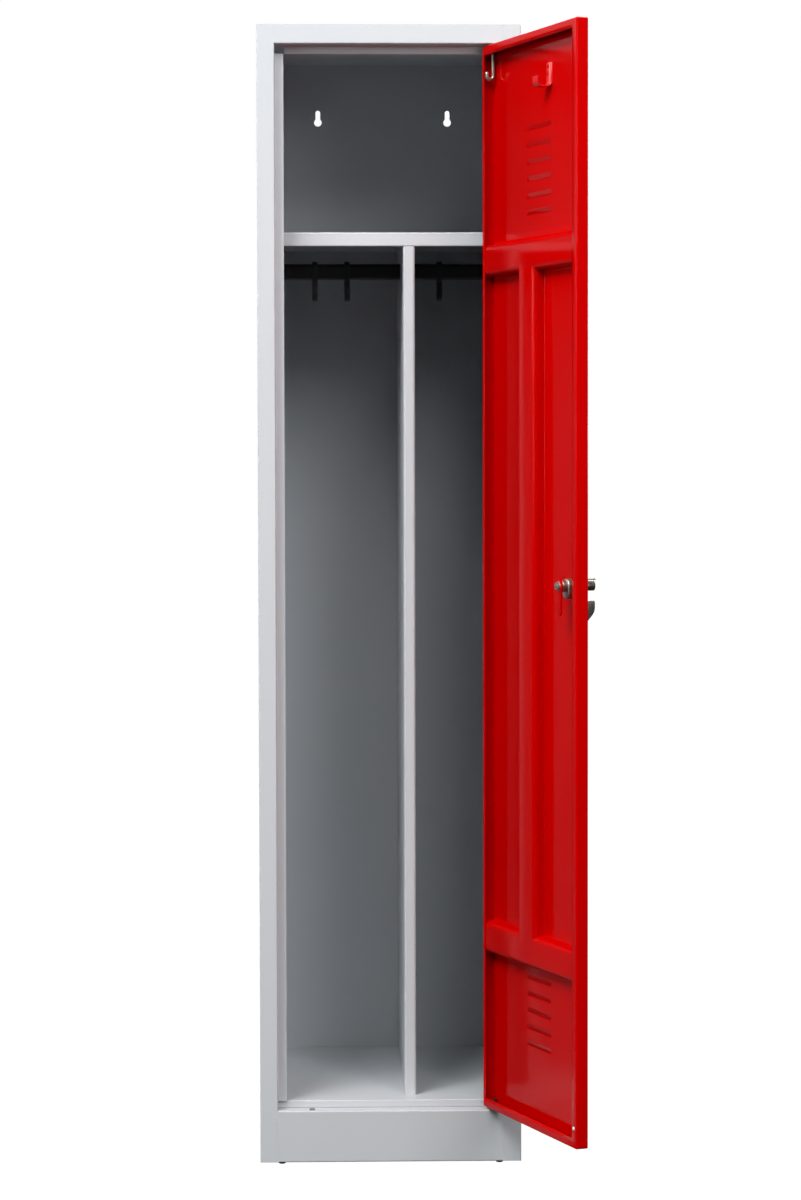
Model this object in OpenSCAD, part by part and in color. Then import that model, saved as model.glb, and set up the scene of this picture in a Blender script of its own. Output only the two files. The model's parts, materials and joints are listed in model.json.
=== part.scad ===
// Steel clothing locker: one compartment with a hat shelf, a partition and a clothes rail, one inset door.
// Millimetres. X runs to the right, Y to the back and Z up.
// The origin is on the floor, under the body's middle.

/* [Body] */
// Width of the body
body_w = 415; // [380:1:600]
// Depth of the body
body_d = 500; // [420:1:600]
// Height of the body on its feet
body_h = 1800; // [1600:5:2100]
// Thickness of the sheet steel
sheet = 1; // [0.8:0.1:1.5]
// Radius on the outside of a bend
bend_r = 2; // [1.8:0.1:3]

/* [Front frame] */
// Width of a post's face
post_face = 28; // [24:1:40]
// Height of the top rail's face
rail_face = 30; // [26:1:45]
// Height of the plinth's face
plinth_face = 82; // [60:1:150]
// Width of the flange that the door closes against
stop_w = 14; // [12:0.5:18]
// Room at a corner between two stop flanges
stop_notch = 1.5; // [1:0.5:6]
// Width of the side panels' flange behind the back panel
back_flange = 15; // [10:1:25]

/* [Inside] */
// Height of the floor above the top of the plinth
floor_rise = 12; // [8:1:20]
// Distance from the top of the body down to the hat shelf's upper face
shelf_down = 320; // [250:5:450]
// Height of the hat shelf's front lip
shelf_lip = 22; // [15:1:30]
// Distance from the body's front back to the shelf and the partition
shelf_set = 65; // [55:1:100]
// Distance of the partition's middle to the right of the body's middle
partition_off = 33; // [-40:1:60]
// Thickness of the partition's front edge
partition_t = 18.5; // [14:0.5:25]
// Outside radius on the partition's front edge
partition_r = 4; // [2:0.5:6]
// Height of the oval clothes rail
rail_h = 26; // [22:1:32]
// Thickness of the oval clothes rail
rail_t = 13; // [10:1:15]
// Distance from the hat shelf's upper face down to the rail's middle
rail_down = 51; // [47:1:70]
// Wall of the clothes rail's tube
rail_wall = 1.2; // [0.8:0.1:2]
// Place of the first sliding hook along the rail, from the body's middle
hook_1_x = -117; // [-165:1:-80]
// Place of the second sliding hook along the rail
hook_2_x = -64; // [-70:1:10]
// Place of the third sliding hook, on the other side of the partition
hook_3_x = 88; // [55:1:165]
// Width of a sliding hook
hook_w = 9; // [7:0.5:11]
// Size of the round hole of a wall fixing's keyhole
keyhole_d = 13; // [10:0.5:14]
// Width of the keyhole's slot
keyslot_w = 8; // [6:0.5:9]
// Height of the keyhole from end to end
keyhole_h = 27; // [22:1:34]
// Distance between the two wall fixings
wall_fix_w = 223; // [150:1:260]
// Distance from the top of the body down to the middle of a wall fixing
wall_fix_down = 92; // [60:1:150]

/* [Door] */
// Opening angle that the door is drawn at
door_open = 110; // [0:1:128]
// Thickness of the door
door_t = 20; // [18:1:24]
// Gap between the door and each post
gap_side = 2; // [2:0.5:4]
// Gap between the door and the top rail
gap_top = 3; // [2.6:0.1:5]
// Gap between the door and the plinth
gap_bottom = 4; // [3.6:0.1:6]
// Width of the door's folded return at the top, the bottom and the free edge
door_return = 15; // [12:1:20]
// Width of the door's folded return at the hinges
hinge_return = 9; // [7:0.5:9]
// Distance of the hinge axis from the door's hinge edge
pin_in = 13; // [13:0.5:16]
// Distance of the hinge axis behind the door's face
pin_deep = 6.5; // [6:0.1:6.8]
// Diameter of the hinge pins
pin_d = 6; // [5:0.5:6]
// Gap behind the door's swinging corner
swing_gap = 1; // [0.5:0.1:2]
// Gap between the closed door and the lock side's stop flange
stop_gap = 2; // [1.5:0.1:3]
// Number of louvres in the upper set
louvres_up = 6; // [3:1:7]
// Number of louvres in the lower set
louvres_low = 5; // [3:1:6]
// Distance between louvres
louvre_pitch = 26; // [22:0.5:28]
// Width of a louvre
louvre_w = 92; // [60:1:120]
// Height of a louvre's mouth
louvre_h = 9; // [7:0.5:11]
// How far a louvre's hood stands out of the door
louvre_out = 3.5; // [3:0.5:6]
// Distance from the door's top down to the middle of the upper louvres
louvres_up_at = 205; // [190:1:215]
// Distance from the door's bottom up to the middle of the lower louvres
louvres_low_at = 175; // [150:1:180]

/* [Door stiffeners] */
// Width of a cross stiffener's crown
cross_w = 50; // [40:1:60]
// Width of the upright stiffener's crown
upright_w = 64; // [40:1:74]
// Width of a stiffener's lip on the door
stiff_lip = 12; // [8:1:14]
// Distance from the door's top down to the middle of the upper cross stiffener
cross_up_at = 336; // [330:1:420]
// Distance from the door's bottom up to the middle of the lower cross stiffener
cross_low_at = 272; // [270:1:350]
// Distance from the hinge edge to the middle of the upright stiffener
upright_at = 166; // [140:1:200]

/* [Coat hook on the door] */
// Width of the coat hook's strip
coat_w = 20; // [15:1:25]
// Thickness of the coat hook's strip
coat_t = 2.5; // [2:0.5:3]
// How far the coat hook stands out from the door's skin
coat_out = 24; // [20:1:28]
// Height of the coat hook
coat_h = 37; // [34:1:45]
// Distance from the hinge edge to the coat hook
coat_at = 217; // [200:1:260]
// Distance from the door's top down to the top of the coat hook
coat_down = 50; // [35:1:60]

/* [Turn latch] */
// Distance from the door's free edge to the latch's axis
latch_in = 50; // [46:1:60]
// Diameter of the latch's spindle
spindle_d = 10; // [9:0.5:12]
// Width of the latch's housing inside the door
housing_w = 24; // [22:1:28]
// Height of the latch's housing
housing_h = 31; // [28:1:36]
// How far the lever stands out from the door
lever_out = 31.5; // [30:0.5:38]
// Width of the lever
lever_w = 14; // [12:1:16]
// Length of the lever below its axis
lever_len = 64; // [58:1:70]
// Diameter of the lever's hub
hub_d = 15; // [14:1:17]
// Height of the gap for a padlock's shackle
shackle_gap = 14.5; // [12:0.5:16]
// Diameter of the padlock hole in the fixed ear
ear_hole_d = 9; // [7:0.5:10]
// Thickness of the latch's base plate
base_t = 3; // [2:0.5:4]
// Thickness of the cam
cam_t = 2.5; // [2:0.5:3]
// Width of the cam
cam_w = 16; // [14:1:20]

/* [Feet] */
// Height of the gliding feet
foot_h = 3; // [2:0.5:6]
// Diameter of a foot
foot_d = 12; // [10:1:14]
// Distance from a post's inner face to the middle of a foot
foot_in = 6.5; // [6:0.5:12]

/* [Hidden] */
$fn = 48;
bend_steps = 5;
run_fit = 0.05;    // radial clearance of a pin that turns
loose_fit = 0.4;   // clearance of a part that slides or passes freely
hw = body_w / 2;
hd = body_d / 2;
open_w = body_w - 2 * post_face;
plinth_top = foot_h + plinth_face;
floor_z = plinth_top + floor_rise;
rail_z = body_h - rail_face;
back_y = hd - sheet;                       // rear face of the back panel
inner_back = back_y - sheet;               // face that the floor, shelf and partition meet
inner_side = hw - sheet;
shelf_z = body_h - shelf_down;
shelf_front = -hd + shelf_set;
shelf_return = 15;
stop_hinge = pin_deep + norm([pin_in, door_t - pin_deep]) + swing_gap;
stop_lock = door_t + stop_gap;
stop_x = open_w / 2 - stop_w;              // inner edge of the posts' stop flanges
stop_low = rail_z - stop_w + sheet;        // lower edge of the top rail's stop flange
door_w = open_w - 2 * gap_side;
door_x = door_w / 2;
door_z0 = plinth_top + gap_bottom;
door_z1 = rail_z - gap_top;
door_mid = (door_z0 + door_z1) / 2;
skin_in = -hd + sheet;                     // inner face of the door's skin, closed
door_back = -hd + door_t;
crown_y = door_back - sheet;               // a stiffener's crown lies against the returns
pin_x = door_x - pin_in;
pin_y = -hd + pin_deep;
pin_r = pin_d / 2;
bush_r = pin_r + 2;
bush_hole_r = bush_r + 0.02;
bush_flange_r = bush_r + 1.4;
bush_deep = 12;
collar_t = 2.5;
frame_bush_t = 1;
curl_r = 5.5;
curl_z = door_z1 - 47;
curl_tip = 4;
pin_into_rail = 9;
rail_zc = shelf_z - rail_down;
socket_deep = 8;
socket_wall = 1.5;
latch_x = -door_x + latch_in;
lever_gap = 0.3;
lever_face = -hd - base_t - lever_gap;     // the lever's side towards the base plate
cam_gap = 0.4;
cam_y = -hd + stop_lock + sheet + cam_gap; // front face of the cam
cam_len = latch_in - gap_side - 3;
washer_t = 1;
nut_t = 3.5;
housing_out = 15;                          // how far the housing stands behind the door's face
housing_up = hub_d / 2 + 3.5;              // height of the housing above the axis
boss_r = housing_w / 2 - 3;                // boss of the housing towards the cam
web_t = 9;                                 // thickness of the lever between its hub and its grip
tip_t = 7;                                 // thickness of the grip at its tip
grip_deep = 17;                            // height of the grip's thick end
thread_r = 3;
square_w = 7;
rivet_r = 2;
rivet_head_r = 3.6;
rivet_head_t = 1.4;
ear_t = 2.5;
ear_at = shackle_gap / 2 + hub_d / 2;      // distance from the axis to the padlock hole
ear_deep = 16;
ear_up = lever_w / 2 + 2.5;
base_w = 34;
base_up = 24;
base_down = lever_len + 10;
base_rivets = [base_up - 5, -base_down + 8];
coat_top = door_z1 - coat_down;
coat_rivets = [5, 16];
coat_x = door_x - coat_at;
buffer_x = -door_x + 8;
buffer_z = door_z0 + 30;
buffer_r = 3;
pad_r = 4.5;
pad_x = -door_x + 52.5;
pad_y = -hd + 9;
foot_x = open_w / 2 - foot_in;
foot_front_y = -hd + 8.5;
foot_back_y = inner_back - 9;
foot_stem_r = 2.5;
base_return = 20;
eps = 0.01;

GREY = [0.78, 0.79, 0.80];
RED = [0.72, 0.03, 0.03];
STEEL = [0.72, 0.72, 0.70];
DARK = [0.08, 0.08, 0.08];
WHITE = [0.92, 0.92, 0.90];

// Points of the arc that rounds the corner b of the path a, b, c with radius r
function corner(a, b, c, r) =
    let (
        u = (a - b) / norm(a - b), v = (c - b) / norm(c - b),
        half = acos(u * v) / 2,
        middle = b + (u + v) / norm(u + v) * r / sin(half),
        from = b + u * r / tan(half) - middle, to = b + v * r / tan(half) - middle,
        start = atan2(from[1], from[0]),
        swept = atan2(from[0] * to[1] - from[1] * to[0], from * to)
    )
    [for (i = [0 : bend_steps]) let (t = start + swept * i / bend_steps) middle + r * [cos(t), sin(t)]];

// The path with every inner corner rounded
function rounded(path, r) = [
    path[0],
    for (i = [1 : len(path) - 2]) each corner(path[i - 1], path[i], path[i + 1], r),
    path[len(path) - 1]
];

// The path moved sideways by t, to the left of its direction where t is positive
function beside(p, t) = [
    for (i = [0 : len(p) - 1])
        let (
            a = p[max(i - 1, 0)], b = p[i], c = p[min(i + 1, len(p) - 1)],
            u = i == 0 ? (c - b) / norm(c - b) : (b - a) / norm(b - a),
            v = i == len(p) - 1 ? u : (c - b) / norm(c - b),
            m = [-(u + v)[1], (u + v)[0]]
        )
        b + m * t * 2 / (m * m)
];

// Outline of a folded sheet: path is its outer face, and t lays its thickness to the left,
// or to the right where it is negative
module folded(path, t = sheet, r = bend_r) {
    outer = rounded(path, r);
    inner = beside(outer, t);
    polygon(concat(outer, [for (i = [len(inner) - 1 : -1 : 0]) inner[i]]));
}

// Carries an outline in Y and Z along X, from x0 to x1
module along_x(x0, x1) {
    translate([x0, 0, 0]) rotate([90, 0, 90]) linear_extrude(x1 - x0) children();
}

// Carries an outline in X and Y up, from z0 to z1
module upwards(z0, z1) {
    translate([0, 0, z0]) linear_extrude(z1 - z0) children();
}

// A round bar along Y from y0 to y1, through x and z
module bar_y(x, z, r, y0, y1) {
    translate([x, y0, z]) rotate([-90, 0, 0]) cylinder(r = r, h = y1 - y0);
}

// A round bar along Z from z0 to z1, through x and y
module bar_z(x, y, r, z0, z1) {
    translate([x, y, z0]) cylinder(r = r, h = z1 - z0);
}

// Upright oval of height h and thickness t
module oval(h, t) {
    for (s = [-1, 1]) translate([0, s * (h - t) / 2]) circle(d = t);
    square([t, h - t], center = true);
}

// Turns what is drawn for the closed door to its opening angle
module on_door() {
    translate([pin_x, pin_y, 0]) rotate([0, 0, door_open]) translate([-pin_x, -pin_y, 0]) children();
}

// Side wall, front post and rear flange folded from one sheet, drawn for the left side
module side_sheet(stop_depth) {
    wall = [[-hw + back_flange, hd], [-hw, hd], [-hw, -hd], [-hw + post_face, -hd],
            [-hw + post_face, -hd + stop_depth]];
    upwards(foot_h, floor_z) folded(wall);
    upwards(floor_z, stop_low) folded(concat(wall, [[-stop_x, -hd + stop_depth]]));
    upwards(stop_low, body_h - sheet) folded(wall);
}

module left_side_panel() {
    color(GREY) side_sheet(stop_lock);
}

module right_side_panel() {
    color(GREY) mirror([1, 0, 0]) side_sheet(stop_hinge);
}

// Round entry below, slot for the screw's neck above
module keyhole() {
    slot_r = keyslot_w / 2;
    top = keyhole_h / 2 - slot_r;
    low = -keyhole_h / 2 + keyhole_d / 2;
    translate([0, low]) circle(d = keyhole_d);
    translate([0, top]) circle(r = slot_r);
    translate([-slot_r, low]) square([keyslot_w, top - low]);
}

module back_panel() {
    color(GREY) difference() {
        translate([bend_r - hw, inner_back, foot_h])
            cube([body_w - 2 * bend_r, sheet, body_h - sheet - foot_h]);
        for (s = [-1, 1])
            translate([s * wall_fix_w / 2, back_y + 1, body_h - wall_fix_down])
                rotate([90, 0, 0]) linear_extrude(sheet + 2) keyhole();
    }
}

// Top sheet with the front rail that the door closes under
module top_panel() {
    stop_y = -hd + stop_hinge;
    color(GREY) difference() {
        union() {
            translate([-hw, -hd, body_h - sheet]) cube([body_w, body_d, sheet]);
            along_x(-open_w / 2, open_w / 2)
                folded([[-hd, body_h - sheet], [-hd, rail_z], [stop_y, rail_z]]);
            along_x(-stop_x + stop_notch, stop_x - stop_notch)
                folded([[stop_y - 2 * bend_r, rail_z], [stop_y, rail_z], [stop_y, stop_low],
                        [stop_y + stop_w, stop_low]]);
            along_x(-hw + back_flange, hw - back_flange)
                translate([back_y, body_h - sheet - back_flange]) square([sheet, back_flange]);
        }
        bar_z(pin_x, pin_y, bush_hole_r, rail_z - 1, rail_z + 2 * sheet);
    }
}

// Floor sheet with a front fold that the door closes against, and a rear lip
module floor_panel() {
    stop_y = -hd + stop_hinge;
    front = stop_y + 2 * stop_w;
    color(GREY) {
        along_x(-open_w / 2, open_w / 2)
            folded([[front, floor_z], [stop_y, floor_z],
                    [stop_y, plinth_top], [stop_y + stop_w, plinth_top]], sheet, 1.5 * sheet);
        along_x(-inner_side, inner_side)
            folded([[front, floor_z], [inner_back, floor_z], [inner_back, floor_z - shelf_return]], -sheet);
    }
}

// Plinth face with its ledge under the door and a fold along the ground
module plinth_front() {
    stop_y = -hd + stop_hinge;
    color(GREY) difference() {
        along_x(-open_w / 2, open_w / 2)
            folded([[-hd + base_return, foot_h], [-hd, foot_h], [-hd, plinth_top],
                    [stop_y + stop_w, plinth_top]], -sheet);
        bar_z(pin_x, pin_y, pin_r + 0.02, plinth_top - 2 * sheet, plinth_top + 1);
        bar_z(pad_x, pad_y, 1.5, plinth_top - 2 * sheet, plinth_top + 1);
        for (s = [-1, 1]) bar_z(s * foot_x, foot_front_y, foot_stem_r, foot_h - 1, foot_h + 2 * sheet);
    }
}

// Angle along the foot of the back panel, which carries the rear feet
module back_sill() {
    color(GREY) difference() {
        along_x(-inner_side, inner_side)
            folded([[inner_back - base_return, foot_h], [inner_back, foot_h],
                    [inner_back, foot_h + plinth_face / 2]], sheet);
        for (s = [-1, 1]) bar_z(s * foot_x, foot_back_y, foot_stem_r, foot_h - 1, foot_h + 2 * sheet);
    }
}

module hat_shelf() {
    low = shelf_z - shelf_lip;
    color(GREY) {
        along_x(-inner_side, inner_side)
            folded([[shelf_front + shelf_return, low], [shelf_front, low], [shelf_front, shelf_z],
                    [inner_back - sheet, shelf_z], [inner_back - sheet, shelf_z + shelf_return]], -sheet);
        for (s = [-1, 1])
            translate([s * (inner_side - sheet / 2), 0, 0])
                along_x(-sheet / 2, sheet / 2)
                    translate([shelf_front + shelf_return, shelf_z - sheet - shelf_return])
                        square([inner_back - shelf_front - 2 * shelf_return, shelf_return]);
    }
}

// Upright pan between the two bays: its front edge is folded round to the right
module partition() {
    x0 = partition_off - partition_t / 2;
    x1 = partition_off + partition_t / 2;
    under_lip = shelf_z - shelf_lip;
    rear = [[x1 - sheet, inner_back], [x0, inner_back]];
    color(GREY) difference() {
        union() {
            upwards(floor_z, under_lip)
                folded(concat(rear, [[x0, shelf_front], [x1, shelf_front],
                                     [x1, shelf_front + shelf_return]]), sheet, partition_r);
            upwards(under_lip, shelf_z - sheet)
                folded(concat(rear, [[x0, shelf_front + shelf_return + sheet]]), sheet, partition_r);
        }
        along_x(x0 - 1, x0 + 2 * sheet)
            translate([0, rail_zc]) oval(rail_h + 2 * loose_fit, rail_t + 2 * loose_fit);
    }
}

module clothes_rail() {
    reach = inner_side - sheet;
    color(DARK) along_x(-reach, reach) translate([0, rail_zc]) difference() {
        oval(rail_h, rail_t);
        oval(rail_h - 2 * rail_wall, rail_t - 2 * rail_wall);
    }
}

// Cup that holds an end of the clothes rail, drawn for the left side
module rail_socket() {
    fit = 0.1;
    rim = 2 * (fit + socket_wall);
    color(DARK) translate([0, 0, rail_zc]) {
        along_x(-inner_side, -inner_side + sheet) oval(rail_h + 18, rail_t + 10);
        along_x(-inner_side + sheet, -inner_side + socket_deep) difference() {
            oval(rail_h + rim, rail_t + rim);
            oval(rail_h + 2 * fit, rail_t + 2 * fit);
        }
    }
}

module rail_socket_left() {
    rail_socket();
}

module rail_socket_right() {
    mirror([1, 0, 0]) rail_socket();
}

// Hook that slides along the clothes rail: a ring round the rail, and a J that opens to the front
module sliding_hook(x) {
    ring = 4;
    stem = 5;
    round_r = 8;
    turn_z = -rail_h / 2 - 25;
    tip_y = 1 - 2 * round_r;
    color(DARK) translate([0, 0, rail_zc]) along_x(x - hook_w / 2, x + hook_w / 2) difference() {
        union() {
            translate([0, ring / 2]) oval(rail_h + 4 * ring, rail_t + 2 * ring);
            translate([1 - stem / 2, turn_z]) square([stem, -turn_z - rail_h / 2]);
            difference() {
                translate([1 - round_r, turn_z]) circle(r = round_r + stem / 2);
                translate([1 - round_r, turn_z]) circle(r = round_r - stem / 2);
                translate([-40, turn_z]) square([60, 30]);
            }
            translate([tip_y - stem / 2, turn_z]) square([stem, 10]);
            translate([tip_y, turn_z + 10]) circle(d = stem);
        }
        oval(rail_h + 2 * loose_fit, rail_t + 2 * loose_fit);
    }
}

module sliding_hook_1() { sliding_hook(hook_1_x); }
module sliding_hook_2() { sliding_hook(hook_2_x); }
module sliding_hook_3() { sliding_hook(hook_3_x); }

// Flanged bush: its flange lies from flange_z over flange_t, its sleeve ends at sleeve_z
module bush(flange_z, flange_t, sleeve_z) {
    difference() {
        union() {
            bar_z(pin_x, pin_y, bush_flange_r, flange_z, flange_z + flange_t);
            bar_z(pin_x, pin_y, bush_r, min(flange_z, sleeve_z), max(flange_z + flange_t, sleeve_z));
        }
        bar_z(pin_x, pin_y, pin_r + run_fit, flange_z - 2 * bush_deep, flange_z + 2 * bush_deep);
    }
}

module upper_hinge_bush() {
    color(WHITE) bush(rail_z - frame_bush_t, frame_bush_t, rail_z + pin_into_rail);
}

// Stud on the ledge, whose collar carries the door
module lower_hinge_pin() {
    color(STEEL) {
        bar_z(pin_x, pin_y, pin_r, plinth_top - 2 * sheet, plinth_top + collar_t + bush_deep);
        bar_z(pin_x, pin_y, bush_flange_r, plinth_top, plinth_top + collar_t);
        bar_z(pin_x, pin_y, bush_r, plinth_top - 2 * sheet, plinth_top - sheet);
    }
}

// Rubber pad on the ledge under the door's free end
module sill_pad() {
    color(DARK) {
        bar_z(pad_x, pad_y, pad_r, plinth_top, plinth_top + gap_bottom - 1);
        bar_z(pad_x, pad_y, 1.5, plinth_top - 2 * sheet, plinth_top);
    }
}

// Plastic glide with its stem in the sheet above it
module foot(x, y) {
    color(DARK) translate([x, y, 0]) {
        cylinder(d1 = foot_d - 2, d2 = foot_d, h = foot_h / 2);
        translate([0, 0, foot_h / 2]) cylinder(d = foot_d, h = foot_h / 2);
        translate([0, 0, foot_h]) cylinder(r = foot_stem_r, h = 6);
    }
}

module foot_front_left() { foot(-foot_x, foot_front_y); }
module foot_front_right() { foot(foot_x, foot_front_y); }
module foot_back_left() { foot(-foot_x, foot_back_y); }
module foot_back_right() { foot(foot_x, foot_back_y); }

// Outside of a louvre's hood, in Y and Z round the louvre's middle
function hood(out, top) = [
    [skin_in, top], [-hd, top], [-hd - out, -louvre_h / 2], [skin_in, -louvre_h / 2]
];

louvre_heights = concat(
    [for (i = [0 : louvres_up - 1]) door_z1 - louvres_up_at + (i - (louvres_up - 1) / 2) * louvre_pitch],
    [for (i = [0 : louvres_low - 1]) door_z0 + louvres_low_at + (i - (louvres_low - 1) / 2) * louvre_pitch]
);

// Pan of the door: skin, four flanges, their returns and the louvres
module door_skin() {
    reach = door_x - bend_r;
    color(RED) on_door() difference() {
        union() {
            upwards(door_z0, door_z1)
                folded([[door_x - hinge_return, door_back], [door_x, door_back],
                        [door_x, -hd], [-door_x, -hd],
                        [-door_x, door_back], [-door_x + door_return, door_back]], -sheet);
            along_x(-reach, reach) {
                folded([[door_back, door_z1 - door_return], [door_back, door_z1], [-hd, door_z1],
                        [-hd, door_z1 - 3 * bend_r]], sheet);
                folded([[door_back, door_z0 + door_return], [door_back, door_z0], [-hd, door_z0],
                        [-hd, door_z0 + 3 * bend_r]], -sheet);
            }
            for (z = louvre_heights) translate([0, 0, z])
                along_x(-louvre_w / 2, louvre_w / 2) polygon(hood(louvre_out, louvre_h / 2));
        }
        for (z = louvre_heights) translate([0, 0, z])
            along_x(-louvre_w / 2 + sheet, louvre_w / 2 - sheet)
                polygon([[skin_in + 1, louvre_h / 2 - 1.5 * sheet], [-hd, louvre_h / 2 - 1.5 * sheet],
                         [-hd - louvre_out + 1.5 * sheet, -louvre_h / 2 - 1], [-hd - eps, -louvre_h / 2 - 1],
                         [-hd - eps, -louvre_h / 2], [skin_in + 1, -louvre_h / 2]]);
        for (z = [door_z0, door_z1]) bar_z(pin_x, pin_y, bush_hole_r, z - 2 * sheet, z + 2 * sheet);
        bar_y(latch_x, door_mid, spindle_d / 2 + loose_fit, -hd - 1, skin_in + 1);
        for (z = base_rivets) bar_y(latch_x, door_mid + z, rivet_r, -hd - 1, skin_in + 1);
        for (z = coat_rivets) bar_y(coat_x, coat_top - z, rivet_r, -hd - 1, skin_in + 1);
        bar_y(buffer_x, buffer_z, 1.5, crown_y - 1, door_back + 1);
    }
}

// Hat profile: lips on the skin, walls, and a crown that lies against the door's returns
function hat(middle, crown) = [
    [skin_in + sheet, middle - crown / 2 - stiff_lip], [skin_in + sheet, middle - crown / 2],
    [crown_y, middle - crown / 2], [crown_y, middle + crown / 2],
    [skin_in + sheet, middle + crown / 2], [skin_in + sheet, middle + crown / 2 + stiff_lip]
];

module cross_stiffener(z) {
    reach = door_x - bend_r - loose_fit;
    color(RED) on_door() along_x(-reach, reach) folded(hat(z, cross_w));
}

module upper_cross_stiffener() {
    cross_stiffener(door_z1 - cross_up_at);
}

module lower_cross_stiffener() {
    cross_stiffener(door_z0 + cross_low_at);
}

// Its crown meets the cross stiffeners' crowns, and its lips and walls are cut away over their lips
module upright_stiffener() {
    profile = [for (p = hat(door_x - upright_at, upright_w)) [p[1], p[0]]];
    low = door_z0 + cross_low_at + cross_w / 2 + loose_fit;
    high = door_z1 - cross_up_at - cross_w / 2 - loose_fit;
    color(RED) on_door() difference() {
        upwards(low, high) folded(profile, -sheet);
        for (z = [low, high]) translate([-door_x, skin_in - sheet, z - stiff_lip])
            cube([door_w, 2 * sheet + bend_r + loose_fit, 2 * stiff_lip]);
    }
}

// Strip-steel hook riveted inside the door
module coat_hook() {
    low = coat_top - coat_h;
    out = skin_in + coat_out;
    color(RED) on_door() difference() {
        along_x(coat_x - coat_w / 2, coat_x + coat_w / 2)
            folded([[skin_in, coat_top], [skin_in, low], [out, low], [out, low + 16]], coat_t, 9);
        for (z = coat_rivets) bar_y(coat_x, coat_top - z, rivet_r, skin_in - 1, skin_in + coat_t + 1);
    }
}

// Rivets through the skin, from the face they hold to the skin's other side
module coat_hook_rivets() {
    color(RED) on_door() for (z = coat_rivets) {
        bar_y(coat_x, coat_top - z, rivet_r, -hd, skin_in + coat_t);
        bar_y(coat_x, coat_top - z, rivet_head_r, skin_in + coat_t, skin_in + coat_t + rivet_head_t);
        bar_y(coat_x, coat_top - z, rivet_head_r, -hd - rivet_head_t / 2, -hd);
    }
}

module door_upper_bush() {
    color(WHITE) on_door() bush(door_z1, frame_bush_t, door_z1 - bush_deep);
}

module door_lower_bush() {
    flange = gap_bottom - collar_t;
    color(WHITE) on_door() bush(door_z0 - flange, flange, door_z0 + bush_deep);
}

// Clear button that the closed door meets its stop with
module door_buffer() {
    color(WHITE) on_door() {
        bar_y(buffer_x, buffer_z, buffer_r, door_back, door_back + stop_gap - loose_fit);
        bar_y(buffer_x, buffer_z, 1.5, crown_y - 1, door_back);
    }
}

// Outside plate of the latch with the fixed ear for a padlock
module latch_base() {
    end_r = base_w / 2;
    color(STEEL) on_door() translate([latch_x, 0, door_mid]) difference() {
        union() {
            translate([0, -hd, 0]) rotate([90, 0, 0]) linear_extrude(base_t) {
                translate([0, base_up - end_r]) circle(r = end_r);
                translate([0, -base_down + end_r]) circle(r = end_r);
                translate([-end_r, -base_down + end_r]) square([base_w, base_down + base_up - base_w]);
            }
            intersection() {
                translate([-ear_at - 11, -hd - base_t - ear_deep - 9, ear_up])
                    cube([ear_at + 7, base_t + ear_deep + 9, ear_t]);
                union() {
                    bar_z(-ear_at, -hd - base_t - ear_deep, 9, ear_up - 1, ear_up + ear_t + 1);
                    translate([-ear_at - 9, -hd - base_t - ear_deep, ear_up - 1])
                        cube([18, base_t + ear_deep, ear_t + 2]);
                }
            }
        }
        bar_y(0, 0, spindle_d / 2 + loose_fit, -hd - base_t - 1, -hd + 1);
        for (z = base_rivets) bar_y(0, z, rivet_r, -hd - base_t - 1, -hd + 1);
        bar_z(-ear_at, -hd - base_t - ear_deep, ear_hole_d / 2, ear_up - 1, ear_up + ear_t + 1);
    }
}

module latch_rivets() {
    color(STEEL) on_door() for (z = base_rivets) {
        bar_y(latch_x, door_mid + z, rivet_r, -hd - base_t, skin_in);
        bar_y(latch_x, door_mid + z, rivet_head_r, skin_in, skin_in + rivet_head_t);
    }
}

// Bearing of the spindle inside the door: an upright body with a boss towards the cam
module latch_housing() {
    r = housing_w / 2;
    top = housing_up - r;
    low = top - housing_h + housing_w;
    color(STEEL) on_door() difference() {
        union() {
            translate([latch_x, -hd + housing_out, door_mid]) rotate([90, 0, 0])
                linear_extrude(housing_out - sheet) {
                    translate([0, top]) circle(r = r);
                    translate([0, low]) circle(r = r);
                    translate([-r, low]) square([housing_w, top - low]);
                }
            bar_y(latch_x, door_mid, boss_r, -hd + housing_out, cam_y - cam_gap);
        }
        bar_y(latch_x, door_mid, spindle_d / 2 + run_fit, skin_in - 1, cam_y + 1);
    }
}

// Removable pin: its curl is the grip that pulls it down out of the top rail
module upper_hinge_pin() {
    color(STEEL) on_door() {
        bar_z(pin_x, pin_y, pin_r, curl_z, rail_z + pin_into_rail - 1);
        bar_z(pin_x, pin_y + 2 * curl_r, pin_r, curl_z, curl_z + curl_tip);
        translate([pin_x, pin_y + 2 * curl_r, curl_z + curl_tip]) sphere(r = pin_r);
        translate([pin_x, pin_y + curl_r, curl_z]) rotate([0, 90, 0]) rotate([0, 0, -90])
            rotate_extrude(angle = 180) translate([curl_r, 0]) circle(r = pin_r);
    }
}

// Hub, web, grip and spindle cast in one piece: a padlock's shackle lies between the hub and the grip
module latch_lever() {
    y_out = -hd - lever_out;
    gap_low = -hub_d / 2 - shackle_gap;
    web = lever_face - web_t;
    color(STEEL) on_door() translate([latch_x, 0, door_mid]) {
        bar_y(0, 0, hub_d / 2, y_out, lever_face);
        along_x(-lever_w / 2, lever_w / 2) polygon([
            [web, 0], [lever_face, 0], [lever_face, -lever_len], [lever_face - tip_t, -lever_len],
            [y_out, gap_low - grip_deep], [y_out, gap_low], [web, gap_low]
        ]);
        bar_y(0, 0, spindle_d / 2, lever_face, cam_y);
        translate([-square_w / 2, cam_y, -square_w / 2]) cube([square_w, cam_t, square_w]);
        bar_y(0, 0, thread_r, cam_y + cam_t, cam_y + cam_t + washer_t + nut_t + 1);
    }
}

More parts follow.
